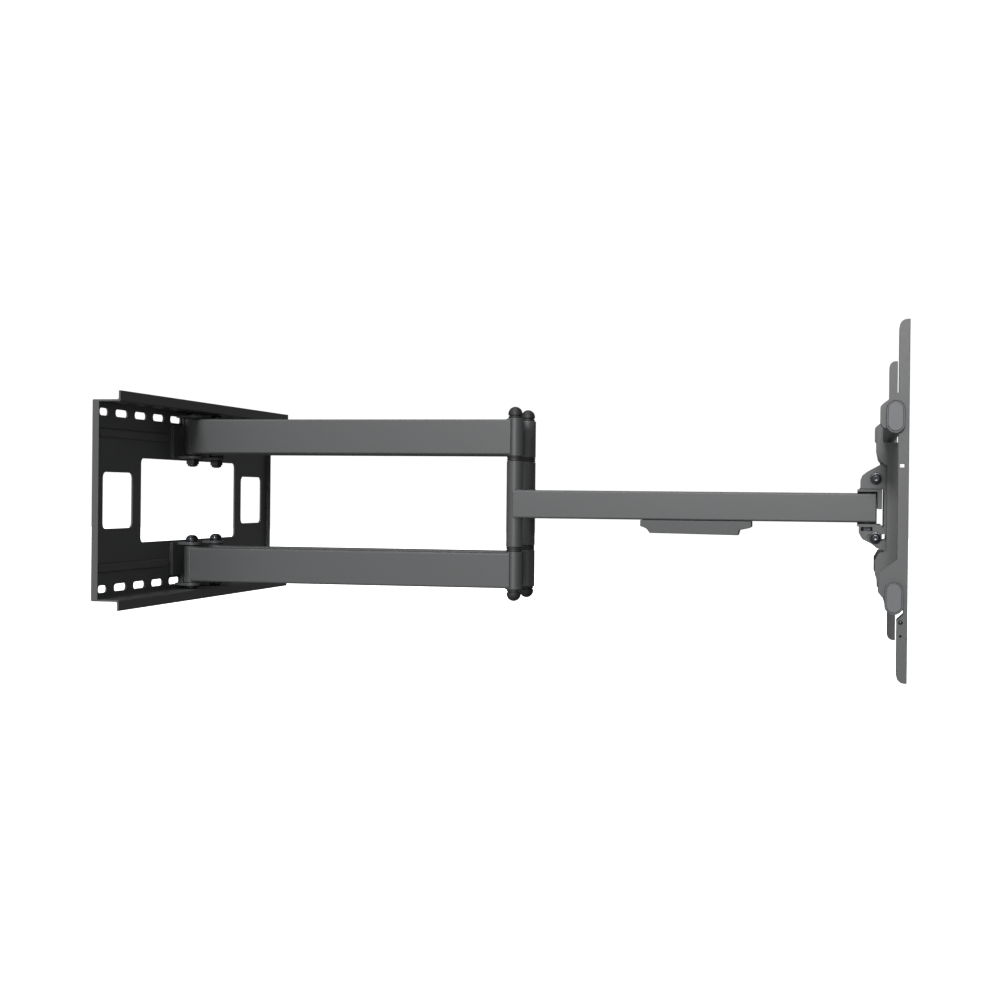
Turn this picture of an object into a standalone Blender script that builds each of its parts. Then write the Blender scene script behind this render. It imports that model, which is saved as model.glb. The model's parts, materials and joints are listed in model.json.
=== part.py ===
"""Full motion TV wall mount: stamped wall plate, two folding double arms, tilting head, TV brackets.

The frame: +Z up, wall face at Y = 0, the room towards -Y, -X is the left arm as seen from the room.
Sizes below are in millimetres and heights are measured from the centre line of the wall plate;
place() turns them into metres and puts the origin on the back of the plate's upper band.
"""
import math

import bmesh
import bpy
from mathutils import Matrix, Vector

MM = 0.001
CENTRE_BELOW_ORIGIN = 85.0      # the plate's centre line lies this far under the origin
GAP = 0.3                       # air left between neighbours that touch
ROUND = 28                      # sides of a round piece
SIDES = {"left": -1, "right": 1}

# Wall plate: a shallow tray pressed from sheet
PLATE_HALF_WIDTH = 317.5
PLATE_HALF_HEIGHT = 131.0
SHEET = 2.5
SIDE_FLANGE_DEPTH = 9.0
SHELF_DEPTH = 39.0
LIP_HEIGHT = 11.5
OPENING_HALF_WIDTH = 174.0
OPENING_HALF_HEIGHT = 58.0
WINDOW_CENTRE_X = 245.2
WINDOW_HALF_WIDTH = 45.6
WINDOW_HALF_HEIGHT = 37.4
SLOT_ROW_HEIGHT = 116.4
SLOT_HEIGHT = 9.8
SLOT_LENGTH = 37.6
SLOT_PITCH = 59.0
END_SLOT_X = 289.0
END_SLOT_LENGTH = 26.0

# Arms: two hinged links a side, each link pair of equal length
PIVOT_X = 45.0                  # half the distance between the left and right pivots
WALL_PIVOT_Y = -23.5
LINK = 479.0
ELBOW_Y = WALL_PIVOT_Y - LINK
HEAD_PIVOT_Y = ELBOW_Y - LINK
ARM_HALF_WIDTH = 12.5
SLEEVE_RADIUS = 11.4
BEAM_SHORT_OF_ELBOW = 4.5       # the beams are welded on just short of the sleeves' axes
BEAM_SHORT_OF_WALL = 3.0
FOREARM_PAST_HEAD = 11.0
TUBE_WALL = 2.0
BEAM_LOW = 69.5
BEAM_HIGH = 118.4
SLEEVE_LOW = 66.3
SLEEVE_HIGH = 119.2
FOREARM_HALF_HEIGHT = 19.5
MIDDLE_SLEEVE_HALF = 60.0
ELBOW_PIN_RADIUS = 6.5
ELBOW_BORE_RADIUS = 7.0
BOLT_RADIUS = 5.0
BOLT_BORE_RADIUS = 5.5
CAP_HEIGHT = 15.8
CAP_SKIRT = 5.0
CAP_RADIUS = 10.0

# Wall hinge brackets
TONGUE = 4.0
TONGUE_LOW = 60.5
TONGUE_HIGH = 119.5

# Head: yoke, tilt bracket, levelling plate
HEAD_SHEET = 3.0
YOKE_HALF_WIDTH = 61.5
YOKE_SHELF_LOW = 21.5
YOKE_FRONT_Y = -994.3
TILT_EAR_RADIUS = 9.8
TILT_Y = -992.5
TILT_Z = 38.5
LOCK_Y = -992.5
LOCK_Z = -39.5
TILT_DOWN = math.radians(8.0)
TILT_UP = math.radians(5.0)
CHEEK_INNER = 62.0
BASE_BACK_Y = -1003.0
LEVEL_BACK_Y = BASE_BACK_Y - HEAD_SHEET - GAP
LEVEL_HALF_WIDTH = 77.0
LEVEL_BOLT_HIGH = 55.0
LEVEL_BOLT_LOW = -76.0

# Rails and TV brackets
RAIL_Y = -1011.2
RAIL_HALF_DEPTH = 10.2
RAIL_HALF_HEIGHT = 18.3
RAIL_Z = {"upper": 108.0, "lower": -103.4}
RAIL_HALF_LENGTH = 318.0
CAP_OVERHANG = 0.8
BRACKET_X = 300.0
BRACKET_HALF_WIDTH = 14.0
BRACKET_SHEET = 2.5
BRACKET_BACK_Y = -1014.7
BRACKET_FRONT_Y = -1026.9
BRACKET_TOP = 222.0
BRACKET_BOTTOM = -203.0


def place(x, y, z):
    """A point in millimetres about the plate's centre line, as a point in metres about the origin."""
    return Vector((x, y, z - CENTRE_BELOW_ORIGIN)) * MM


# ---------------------------------------------------------------- shapes
# Each shape is (axis, outline, low, high): an outline extruded along an axis.
# Along X the outline is (y, z); along Y it is (x, z); along Z it is (x, y).

def prism(axis, outline, low, high):
    return axis, list(outline), low, high


def rectangle(a0, a1, b0, b1):
    return [(a0, b0), (a1, b0), (a1, b1), (a0, b1)]


def block(x0, x1, y0, y1, z0, z1):
    return prism("Z", rectangle(x0, x1, y0, y1), z0, z1)


def arc(centre_a, centre_b, radius, start, end, steps):
    turns = [start + (end - start) * i / steps for i in range(steps + 1)]
    return [(centre_a + radius * math.cos(t), centre_b + radius * math.sin(t)) for t in turns]


def circle(centre_a, centre_b, radius, sides=ROUND):
    return arc(centre_a, centre_b, radius, 0.0, math.tau, sides)[:-1]


def hexagon(centre_a, centre_b, across_flats):
    return circle(centre_a, centre_b, across_flats / math.sqrt(3.0), 6)


def rounded_rectangle(a0, a1, b0, b1, radius, steps=4):
    quarter = math.pi / 2
    corners = ((a1 - radius, b1 - radius), (a0 + radius, b1 - radius),
               (a0 + radius, b0 + radius), (a1 - radius, b0 + radius))
    outline = []
    for turn, (a, b) in enumerate(corners):
        outline += arc(a, b, radius, turn * quarter, (turn + 1) * quarter, steps)
    return outline


def corner(axis, a, b, along):
    """The point of an outline corner, at a height along the axis of extrusion."""
    if axis == "X":
        return place(along, a, b)
    if axis == "Y":
        return place(a, along, b)
    return place(a, b, along)


def add_prism(bm, shape):
    axis, outline, low, high = shape
    base = [bm.verts.new(corner(axis, a, b, low)) for a, b in outline]
    cap = bm.faces.new(base)
    top = bmesh.ops.extrude_face_region(bm, geom=[cap])["geom"]
    moved = [item for item in top if isinstance(item, bmesh.types.BMVert)]
    step = corner(axis, 0, 0, high) - corner(axis, 0, 0, low)
    bmesh.ops.translate(bm, verts=moved, vec=step)


def mesh_of(name, shapes):
    bm = bmesh.new()
    for shape in shapes:
        add_prism(bm, shape)
    bmesh.ops.recalc_face_normals(bm, faces=bm.faces)
    mesh = bpy.data.meshes.new(name)
    bm.to_mesh(mesh)
    bm.free()
    return mesh


# ---------------------------------------------------------------- materials

def material(name, colour, roughness, metallic):
    made = bpy.data.materials.new(name)
    made.use_nodes = True
    shader = made.node_tree.nodes["Principled BSDF"]
    shader.inputs["Base Color"].default_value = (*colour, 1.0)
    shader.inputs["Roughness"].default_value = roughness
    shader.inputs["Metallic"].default_value = metallic
    return made


# ---------------------------------------------------------------- objects

def joint_empty(name, x, y, z, parent=None):
    """An empty on a joint's axis; the pieces of a moving body hang under it."""
    empty = bpy.data.objects.new(name, None)
    bpy.context.collection.objects.link(empty)
    spot = place(x, y, z)
    empty["spot"] = tuple(spot)
    if parent is None:
        empty.location = spot
    else:
        empty.parent = parent
        empty.location = spot - Vector(parent["spot"])
    return empty


def helper_object(name, shapes):
    """A cutter or an addition used by a Boolean; it is never part of the model itself."""
    guide = bpy.data.objects.new(name, mesh_of(name, shapes))
    guide.hide_render = True
    guide.display_type = "WIRE"
    bpy.context.collection.objects.link(guide)
    return guide


def piece(name, finish, body, base, joins=(), cuts=()):
    """One solid: a base shape, shapes joined to it one by one, and shapes cut from it."""
    made = bpy.data.objects.new(name, mesh_of(name, base))
    made.data.materials.append(material(name + "_finish", *finish))
    bpy.context.collection.objects.link(made)
    steps = [("UNION", [shape]) for shape in joins]
    if cuts:
        steps.append(("DIFFERENCE", cuts))
    for number, (operation, shapes) in enumerate(steps):
        boolean = made.modifiers.new(f"step_{number}", "BOOLEAN")
        boolean.operation = operation
        boolean.solver = "EXACT"
        boolean.use_self = len(shapes) > 1
        boolean.object = helper_object(f"{name}_guide_{number}", shapes)
    made.data.shade_smooth()
    made.data.set_sharp_from_angle(angle=math.radians(30))
    if body is not None:
        made.parent = body
        made.matrix_parent_inverse = Matrix.Translation(Vector(body["spot"])).inverted()
    return made


POWDER_COAT = ((0.030, 0.031, 0.033), 0.45, 0.0)
BLACK_PLASTIC = ((0.012, 0.012, 0.013), 0.55, 0.0)
BLACK_ZINC = ((0.055, 0.055, 0.058), 0.35, 0.9)
NYLON = ((0.020, 0.020, 0.021), 0.60, 0.0)


# ---------------------------------------------------------------- wall plate

def wall_plate():
    tray = [(0, PLATE_HALF_HEIGHT)]
    for sign in (1, -1):
        shelf = [(-SHELF_DEPTH + SHEET, sign * PLATE_HALF_HEIGHT),
                 (-SHELF_DEPTH + SHEET, sign * (PLATE_HALF_HEIGHT + LIP_HEIGHT)),
                 (-SHELF_DEPTH, sign * (PLATE_HALF_HEIGHT + LIP_HEIGHT)),
                 (-SHELF_DEPTH, sign * (PLATE_HALF_HEIGHT - SHEET)),
                 (-SHEET, sign * (PLATE_HALF_HEIGHT - SHEET))]
        tray += shelf if sign == 1 else shelf[::-1]
    tray.append((0, -PLATE_HALF_HEIGHT))
    side_flanges = []
    windows = [prism("Y", rounded_rectangle(-OPENING_HALF_WIDTH, OPENING_HALF_WIDTH,
                                            -OPENING_HALF_HEIGHT, OPENING_HALF_HEIGHT, 7), -9, 6)]
    for side in (-1, 1):
        edge = side * PLATE_HALF_WIDTH
        inner = edge - side * SHEET
        side_flanges.append(block(min(edge, inner), max(edge, inner), -SIDE_FLANGE_DEPTH, 0.0,
                                  SHEET / 2 - PLATE_HALF_HEIGHT, PLATE_HALF_HEIGHT - SHEET / 2))
        middle = side * WINDOW_CENTRE_X
        windows.append(prism("Y", rounded_rectangle(middle - WINDOW_HALF_WIDTH, middle + WINDOW_HALF_WIDTH,
                                                    -WINDOW_HALF_HEIGHT, WINDOW_HALF_HEIGHT, 8), -9, 6))
    slots = [(SLOT_PITCH * step, SLOT_LENGTH) for step in range(-4, 5)]
    slots += [(-END_SLOT_X, END_SLOT_LENGTH), (END_SLOT_X, END_SLOT_LENGTH)]
    for x, length in slots:
        for row in (-SLOT_ROW_HEIGHT, SLOT_ROW_HEIGHT):
            slot = rounded_rectangle(x - length / 2, x + length / 2,
                                     row - SLOT_HEIGHT / 2, row + SLOT_HEIGHT / 2, 4.5, 3)
            windows.append(prism("Y", slot, -9, 6))
    piece("wall_plate", POWDER_COAT, None,
          [prism("X", tray, -PLATE_HALF_WIDTH, PLATE_HALF_WIDTH)], side_flanges, windows)


def wall_bracket(level):
    """A welded bracket: a back plate with two tongues above and two below the arm's sleeves."""
    up = 1 if level == "upper" else -1
    back = -SHEET - GAP
    front = back - TONGUE

    def heights(a, b):
        return sorted((up * a, up * b))

    low, high = heights(TONGUE_LOW, 108)
    body = block(-75, 75, front, back, low, high)
    joins = []
    bores = []
    for side in (-1, 1):
        tab_low, tab_high = heights(106, TONGUE_HIGH + TONGUE)
        tab = sorted((side * 21, side * 39))
        joins.append(block(*tab, front, back, tab_low, tab_high))
        pivot = side * PIVOT_X
        for start, root in ((TONGUE_LOW, 32.5), (TONGUE_HIGH, 22.0)):
            round_end = arc(pivot, WALL_PIVOT_Y, ARM_HALF_WIDTH, math.pi, math.tau, ROUND // 2)
            if side == 1:
                tongue = [(root, back)] + round_end + [(pivot + ARM_HALF_WIDTH, back)]
            else:
                tongue = [(pivot - ARM_HALF_WIDTH, back)] + round_end + [(-root, back)]
            joins.append(prism("Z", tongue, *heights(start, start + TONGUE)))
            bores.append(prism("Z", circle(pivot, WALL_PIVOT_Y, BOLT_BORE_RADIUS),
                               *heights(start - 2, start + TONGUE + 2)))
    piece(f"wall_bracket_{level}", POWDER_COAT, None, [body], joins, bores)


def ring(name, finish, body, x, y, outer, inner, low, high):
    piece(name, finish, body, [prism("Z", circle(x, y, outer), low, high)],
          cuts=[prism("Z", circle(x, y, inner), low - 1, high + 1)])


def wall_hinge_hardware(level, side):
    """The bolt, nut and bush of one wall hinge."""
    up = 1 if level == "upper" else -1
    x = SIDES[side] * PIVOT_X
    y = WALL_PIVOT_Y
    outside = TONGUE_HIGH + TONGUE + GAP
    inside = TONGUE_LOW - GAP
    if level == "upper":
        head = prism("Z", circle(x, y, 9.0), outside, outside + 4.2)
        shank = prism("Z", circle(x, y, BOLT_RADIUS), 48.0, outside + 1)
        nut = prism("Z", hexagon(x, y, 17.0), inside - 10.4, inside)
    else:
        head = prism("Z", circle(x, y, 9.0), -inside, -inside + 10.4)
        shank = prism("Z", circle(x, y, BOLT_RADIUS), -outside - 4.4, -inside + 1)
        nut = prism("Z", hexagon(x, y, 17.0), -outside - 4.2, -outside)
    tag = f"{level}_{side}"
    piece(f"wall_bolt_{tag}", BLACK_ZINC, None, [head], [shank])
    low, high = nut[2:]
    piece(f"wall_nut_{tag}", BLACK_ZINC, None, [nut],
          cuts=[prism("Z", circle(x, y, BOLT_RADIUS + GAP), low - 1, high + 1)])
    bush = sorted((up * (TONGUE_LOW + TONGUE + GAP), up * (SLEEVE_LOW - GAP)))
    ring(f"wall_bush_{tag}", NYLON, None, x, y, 11.2, BOLT_BORE_RADIUS, *bush)


# ---------------------------------------------------------------- arms

def beam(level, side, body):
    """A rectangular tube with a round sleeve at both ends and a vent hole for the coating."""
    up = 1 if level == "upper" else -1
    x = SIDES[side] * PIVOT_X
    low, high = sorted((up * BEAM_LOW, up * BEAM_HIGH))
    sleeve = sorted((up * SLEEVE_LOW, up * SLEEVE_HIGH))
    outline = rectangle(x - ARM_HALF_WIDTH, x + ARM_HALF_WIDTH,
                        ELBOW_Y + BEAM_SHORT_OF_ELBOW, WALL_PIVOT_Y - BEAM_SHORT_OF_WALL)
    sleeves = [prism("Z", circle(x, y, SLEEVE_RADIUS), *sleeve) for y in (WALL_PIVOT_Y, ELBOW_Y)]
    inner = ARM_HALF_WIDTH - TUBE_WALL
    hollow = block(x - inner, x + inner, ELBOW_Y + 16, WALL_PIVOT_Y - 16, low + TUBE_WALL, high - TUBE_WALL)
    towards_middle = sorted((x, x - SIDES[side] * (ARM_HALF_WIDTH + 2)))
    vent = prism("X", circle(ELBOW_Y + 40, (low + high) / 2, 3.0, 12), *towards_middle)
    bores = [prism("Z", circle(x, WALL_PIVOT_Y, BOLT_BORE_RADIUS), sleeve[0] - 1, sleeve[1] + 1),
             prism("Z", circle(x, ELBOW_Y, ELBOW_BORE_RADIUS), sleeve[0] - 1, sleeve[1] + 1)]
    piece(f"arm_{level}_{side}", POWDER_COAT, body, [prism("Z", outline, low, high)],
          sleeves, bores + [hollow, vent])


def elbow_hardware(side, body):
    """The long elbow pin, its two domed caps and the two bushes between the sleeves."""
    x = SIDES[side] * PIVOT_X
    pin_end = SLEEVE_HIGH
    piece(f"elbow_pin_{side}", BLACK_ZINC, body,
          [prism("Z", circle(x, ELBOW_Y, ELBOW_PIN_RADIUS), -pin_end, pin_end)])
    for end, up in (("top", 1), ("bottom", -1)):
        cap_base = SLEEVE_HIGH + GAP
        skirt = up * (cap_base + CAP_SKIRT)
        dome = arc(0, 0, 1.0, 0.0, math.pi / 2, 7)
        half = [(x, up * cap_base), (x + CAP_RADIUS, up * cap_base)]
        half += [(x + CAP_RADIUS * a, skirt + up * (CAP_HEIGHT - CAP_SKIRT) * b) for a, b in dome]
        turned_cap(f"elbow_cap_{end}_{side}", body, x, ELBOW_Y, half)
        bush = sorted((up * (MIDDLE_SLEEVE_HALF + GAP), up * (SLEEVE_LOW - GAP)))
        level = "upper" if up == 1 else "lower"
        ring(f"elbow_bush_{level}_{side}", NYLON, body, x, ELBOW_Y, 11.2, ELBOW_BORE_RADIUS, *bush)


def turned_cap(name, body, x, y, half_outline):
    """A cap turned about its own vertical axis from half an outline in (x, z)."""
    bm = bmesh.new()
    verts = [bm.verts.new(place(a, y, b)) for a, b in half_outline]
    edges = [bm.edges.new(pair) for pair in zip(verts, verts[1:])]
    bmesh.ops.spin(bm, geom=verts + edges, cent=place(x, y, 0), axis=(0, 0, 1),
                   angle=math.tau, steps=ROUND, use_merge=True, use_duplicate=False)
    bmesh.ops.remove_doubles(bm, verts=bm.verts, dist=0.00002)
    bmesh.ops.recalc_face_normals(bm, faces=bm.faces)
    mesh = bpy.data.meshes.new(name)
    bm.to_mesh(mesh)
    bm.free()
    made = bpy.data.objects.new(name, mesh)
    mesh.materials.append(material(name + "_finish", *BLACK_PLASTIC))
    mesh.shade_smooth()
    mesh.set_sharp_from_angle(angle=math.radians(30))
    bpy.context.collection.objects.link(made)
    made.parent = body
    made.matrix_parent_inverse = Matrix.Translation(Vector(body["spot"])).inverted()


def forearm(side, body):
    x = SIDES[side] * PIVOT_X
    low, high = -FOREARM_HALF_HEIGHT, FOREARM_HALF_HEIGHT
    outline = rounded_rectangle(x - ARM_HALF_WIDTH, x + ARM_HALF_WIDTH,
                                HEAD_PIVOT_Y - FOREARM_PAST_HEAD, ELBOW_Y, 1.5, 3)
    sleeve = prism("Z", circle(x, ELBOW_Y, SLEEVE_RADIUS), -MIDDLE_SLEEVE_HALF, MIDDLE_SLEEVE_HALF)
    inner = ARM_HALF_WIDTH - TUBE_WALL
    hollow = block(x - inner, x + inner, HEAD_PIVOT_Y + 16, ELBOW_Y - 16, low + TUBE_WALL, high - TUBE_WALL)
    towards_middle = sorted((x, x - SIDES[side] * (ARM_HALF_WIDTH + 2)))
    vent = prism("X", circle(ELBOW_Y - 40, 0, 3.0, 12), *towards_middle)
    bores = [prism("Z", circle(x, ELBOW_Y, ELBOW_BORE_RADIUS), -MIDDLE_SLEEVE_HALF - 1, MIDDLE_SLEEVE_HALF + 1),
             prism("Z", circle(x, HEAD_PIVOT_Y, BOLT_BORE_RADIUS), low - 1, high + 1)]
    piece(f"forearm_{side}", POWDER_COAT, body, [prism("Z", outline, low, high)], [sleeve],
          bores + [hollow, vent])


def cable_clip(side, body):
    """The long cable holder under the forearm, open as a channel towards the tube."""
    x = SIDES[side] * PIVOT_X
    top = -FOREARM_HALF_HEIGHT - GAP
    far_end, near_end = -830.0, -680.0
    outline = [(near_end, top), (near_end, top - 8.5), (near_end - 4, top - 9.5), (near_end - 9, top - 12),
               (near_end - 13, top - 17.5), (far_end + 18, top - 19), (far_end + 16, top - 12),
               (far_end + 4, top - 9.5), (far_end, top - 7.5), (far_end, top)]
    channel = block(x - 8.5, x + 8.5, far_end - 1, near_end + 1, top - 6.5, top - 2)
    piece(f"cable_clip_{side}", BLACK_PLASTIC, body,
          [prism("X", outline, x - ARM_HALF_WIDTH, x + ARM_HALF_WIDTH)], cuts=[channel])


# ---------------------------------------------------------------- head

def yoke(body):
    """Welded yoke that joins both forearm ends and carries the tilt pivots."""
    back, front = -968.5, YOKE_FRONT_Y
    shelf_top = YOKE_SHELF_LOW + HEAD_SHEET
    spine = block(-26, 26, front, back, -shelf_top, shelf_top)
    joins = [block(-YOKE_HALF_WIDTH, YOKE_HALF_WIDTH, front, back, YOKE_SHELF_LOW, shelf_top),
             block(-YOKE_HALF_WIDTH, YOKE_HALF_WIDTH, front, back, -shelf_top, -YOKE_SHELF_LOW)]
    upper_ear = ([(back, YOKE_SHELF_LOW + 1)] + arc(TILT_Y, TILT_Z, TILT_EAR_RADIUS, 0.0, math.pi, 12)
                 + [(-1000.5, 30.0), (-1000.5, -1.5), (-994.8, -1.5), (-994.8, YOKE_SHELF_LOW + 1)])
    lower_ear = [(-971.0, -YOKE_SHELF_LOW - 1), (-1000.5, -YOKE_SHELF_LOW - 1), (-1000.5, -46.0),
                 (-996.0, -50.0), (-986.5, -47.0), (-975.5, -41.5), (-971.0, -33.0)]
    cuts = []
    for side in (-1, 1):
        ear = sorted((side * (YOKE_HALF_WIDTH - HEAD_SHEET), side * YOKE_HALF_WIDTH))
        joins += [prism("X", upper_ear, *ear), prism("X", lower_ear, *ear)]
        ear_cut = (ear[0] - 1, ear[1] + 1)
        nut_window = rectangle(-988.5, -973.5, -30.5, -shelf_top - 0.7)
        cuts += [prism("X", circle(TILT_Y, TILT_Z, 4.5, 16), *ear_cut),
                 prism("X", circle(LOCK_Y, LOCK_Z, 4.5, 16), *ear_cut),
                 prism("X", nut_window, *ear_cut)]
        for low in (YOKE_SHELF_LOW - 1, -YOKE_SHELF_LOW - HEAD_SHEET - 1):
            cuts.append(prism("Z", circle(side * PIVOT_X, HEAD_PIVOT_Y, BOLT_BORE_RADIUS), low, low + 5))
    piece("head_yoke", POWDER_COAT, body, [spine], joins, cuts)


def head_pivot_hardware(side, body):
    x = SIDES[side] * PIVOT_X
    y = HEAD_PIVOT_Y
    seat = YOKE_SHELF_LOW + HEAD_SHEET + GAP
    head = prism("Z", circle(x, y, 9.0), seat, seat + 4)
    shank = prism("Z", circle(x, y, BOLT_RADIUS), -seat - 10, seat + 1)
    piece(f"head_bolt_{side}", BLACK_ZINC, body, [head], [shank])
    piece(f"head_nut_{side}", BLACK_ZINC, body, [prism("Z", hexagon(x, y, 17.0), -seat - 8, -seat)],
          cuts=[prism("Z", circle(x, y, BOLT_RADIUS + GAP), -seat - 9, -seat + 1)])
    for level, up in (("upper", 1), ("lower", -1)):
        span = sorted((up * (FOREARM_HALF_HEIGHT + GAP), up * (YOKE_SHELF_LOW - GAP)))
        ring(f"head_bush_{level}_{side}", NYLON, body, x, y, 11.5, BOLT_BORE_RADIUS, *span)


def side_bolt(name, body, side, y, z):
    """A bolt across an ear: a round head outside the cheek, a shank and a nut inside the ear."""
    sign = SIDES[side]
    outer = CHEEK_INNER + HEAD_SHEET + GAP
    inner = YOKE_HALF_WIDTH - HEAD_SHEET - GAP
    head = prism("X", circle(y, z, 8.0, 18), *sorted((sign * outer, sign * (outer + 4))))
    shank = prism("X", circle(y, z, 4.0, 18), *sorted((sign * (inner - 3), sign * (outer + 1))))
    nut = prism("X", hexagon(y, z, 11.0), *sorted((sign * (inner - 6), sign * inner)))
    piece(name, BLACK_ZINC, body, [head], [shank, nut])


def tilt_bracket(body):
    """Tilting bracket: a window plate with a cheek on each side, slotted for the lock bolt."""
    front = BASE_BACK_Y - HEAD_SHEET
    outer = CHEEK_INNER + HEAD_SHEET
    plate = block(-outer, outer, front, BASE_BACK_Y, -81.5, 62.0)
    cheek_up = [(front, 62.0), (-1001.0, 59.0), (-981.0, 47.8), (-975.0, 43.0), (-972.5, 37.5),
                (-972.5, 25.5), (front, 25.5)]
    cheek_down = [(front, -25.0), (-989.5, -25.0), (-989.5, -30.5), (-972.5, -30.5), (-972.5, -34.0),
                  (-976.5, -42.0), (-987.5, -47.5), (-994.0, -53.0), (front, -56.0)]
    joins = []
    cuts = [prism("Y", rounded_rectangle(-CHEEK_INNER, CHEEK_INNER, -69.0, 45.0, 5), front - 2,
                  BASE_BACK_Y + 2)]
    reach = math.hypot(LOCK_Y - TILT_Y, LOCK_Z - TILT_Z)
    hang = math.atan2(LOCK_Z - TILT_Z, LOCK_Y - TILT_Y)
    slot = (arc(TILT_Y, TILT_Z, reach + 4.6, hang - TILT_DOWN, hang + TILT_UP, 8)
            + arc(TILT_Y, TILT_Z, reach - 4.6, hang + TILT_UP, hang - TILT_DOWN, 8))
    ends = [(TILT_Y + reach * math.cos(hang + turn), TILT_Z + reach * math.sin(hang + turn))
            for turn in (-TILT_DOWN, TILT_UP)]
    for side in (-1, 1):
        cheek = sorted((side * CHEEK_INNER, side * outer))
        joins += [prism("X", cheek_up, *cheek), prism("X", cheek_down, *cheek)]
        through = (cheek[0] - 1, cheek[1] + 1)
        cuts += [prism("X", circle(TILT_Y, TILT_Z, 4.5, 16), *through), prism("X", slot, *through)]
        cuts += [prism("X", circle(y, z, 4.6, 16), *through) for y, z in ends]
    for z in (LEVEL_BOLT_HIGH, LEVEL_BOLT_LOW):
        cuts.append(prism("Y", circle(0, z, 3.5, 14), front - 2, BASE_BACK_Y + 2))
    piece("tilt_bracket", POWDER_COAT, body, [plate], joins, cuts)


def level_bolt(name, body, z):
    """A screw through the tilt bracket that the levelling plate's slot rides on."""
    head = prism("Y", circle(0, z, 7.5, 20), LEVEL_BACK_Y - HEAD_SHEET - GAP - 4, LEVEL_BACK_Y - HEAD_SHEET - GAP)
    shank = prism("Y", circle(0, z, 3.0, 14), LEVEL_BACK_Y - HEAD_SHEET - 2, BASE_BACK_Y + 5)
    nut = prism("Y", hexagon(0, z, 10.0), BASE_BACK_Y + GAP, BASE_BACK_Y + 5)
    piece(name, BLACK_ZINC, body, [head], [shank, nut])


def level_plate(body):
    """Plate with deep side flanges whose lobes reach behind both rails."""
    front = LEVEL_BACK_Y - HEAD_SHEET
    edge_low, edge_high = -84.0, 86.0
    plate = block(-LEVEL_HALF_WIDTH, LEVEL_HALF_WIDTH, front, LEVEL_BACK_Y, edge_low, edge_high)
    behind_rail = RAIL_Y + RAIL_HALF_DEPTH + GAP
    flange = [(-1022.0, edge_low), (-1022.0, edge_high), (behind_rail, edge_high), (behind_rail, 114.0),
              (-993.5, 107.0), (-993.5, 78.0), (-996.0, 65.5), (-1002.0, 57.5), (LEVEL_BACK_Y, 56.0),
              (LEVEL_BACK_Y, -57.0), (-997.0, -58.5), (-991.5, -68.5), (-991.5, -86.0), (-995.5, -98.0),
              (-996.0, -110.0), (behind_rail, -116.0), (behind_rail, edge_low)]
    joins = []
    for side in (-1, 1):
        wall = sorted((side * (LEVEL_HALF_WIDTH - HEAD_SHEET), side * LEVEL_HALF_WIDTH))
        joins.append(prism("X", flange, *wall))
    window = (front - 2, LEVEL_BACK_Y + 2)
    cuts = [prism("Y", rounded_rectangle(-66, 66, -66.0, 44.0, 6), *window),
            prism("Y", rounded_rectangle(-73.5, 73.5, -51.0, -23.5, 2), *window)]
    for z, reach in ((LEVEL_BOLT_HIGH, 3.2), (LEVEL_BOLT_LOW, 4.4)):
        cuts.append(prism("Y", rounded_rectangle(-reach - 3.4, reach + 3.4, z - 3.6, z + 3.6, 3.3),
                          *window))
    piece("level_plate", POWDER_COAT, body, [plate], joins, cuts)


def rail_outline(inset):
    """The oval section of a rail in (y, z) about its own centre."""
    radius = RAIL_HALF_DEPTH - inset
    straight = RAIL_HALF_HEIGHT - RAIL_HALF_DEPTH
    return (arc(0, straight, radius, 0.0, math.pi, 10)
            + arc(0, -straight, radius, math.pi, math.tau, 10))


def rail(level, body):
    z = RAIL_Z[level]
    section = [(RAIL_Y + a, z + b) for a, b in rail_outline(0)]
    hollow = [(RAIL_Y + a, z + b) for a, b in rail_outline(TUBE_WALL)]
    piece(f"rail_{level}", POWDER_COAT, body, [prism("X", section, -RAIL_HALF_LENGTH, RAIL_HALF_LENGTH)],
          cuts=[prism("X", hollow, -RAIL_HALF_LENGTH - 2, RAIL_HALF_LENGTH + 2)])
    for side, sign in SIDES.items():
        face = [(RAIL_Y + a, z + b) for a, b in rail_outline(-CAP_OVERHANG)]
        plug = [(RAIL_Y + a, z + b) for a, b in rail_outline(TUBE_WALL + GAP)]
        end = RAIL_HALF_LENGTH + GAP
        piece(f"rail_cap_{level}_{side}", BLACK_PLASTIC, body,
              [prism("X", face, *sorted((sign * end, sign * (end + 3))))],
              [prism("X", plug, *sorted((sign * (end - 12), sign * (end + 1))))])


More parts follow.
